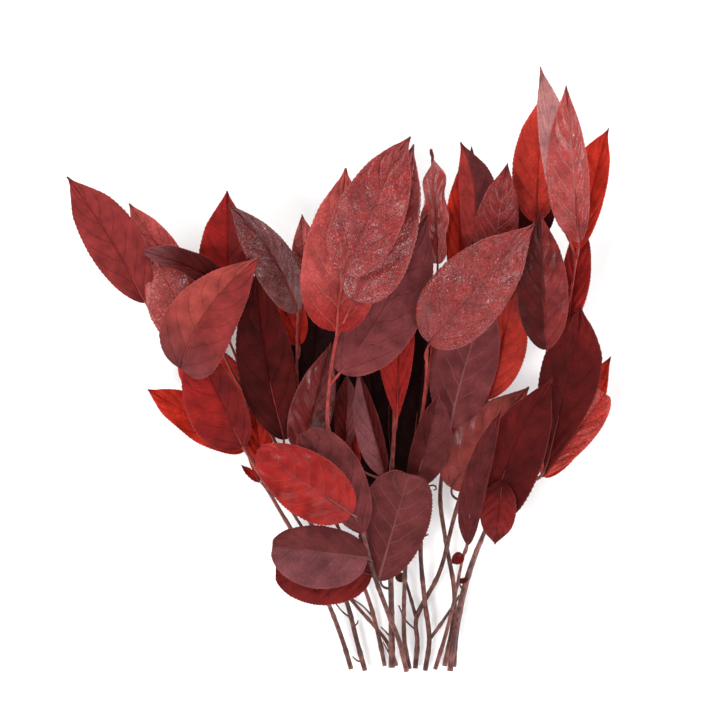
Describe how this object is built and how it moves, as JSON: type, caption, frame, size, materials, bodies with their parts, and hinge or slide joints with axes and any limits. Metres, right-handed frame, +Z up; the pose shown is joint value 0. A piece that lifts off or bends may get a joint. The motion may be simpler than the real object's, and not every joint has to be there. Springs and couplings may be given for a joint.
{
  "type": "bunch of preserved salal stems",
  "caption": "Loose bunch of preserved, red-dyed salal branches with leathery pointed leaves, lying on its side, for dried flower arrangements.",
  "frame": {"origin": "centre of the bunch's box, on the surface that it lies on", "axes": "+X across the bunch to the right as the picture shows it, +Y from the cut ends to the leaf tips, +Z up from the surface"},
  "size_m": [0.2734, 0.3034, 0.1007],
  "materials": {
    "dyed_leaf": "satin",
    "dyed_bark": "matte"
  },
  "bodies": {
    "root": {"left_outer_stem": "dyed_leaf", "left_middle_stem": "dyed_leaf", "left_inner_stem": "dyed_leaf", "left_under_stem": "dyed_leaf", "centre_front_stem": "dyed_leaf", "centre_back_stem": "dyed_leaf", "centre_right_stem": "dyed_leaf", "right_inner_stem": "dyed_leaf", "right_middle_stem": "dyed_leaf", "right_low_stem": "dyed_leaf", "right_under_stem": "dyed_leaf", "right_outer_stem": "dyed_leaf", "right_tall_stem": "dyed_leaf"}
  },
  "joints": []
}
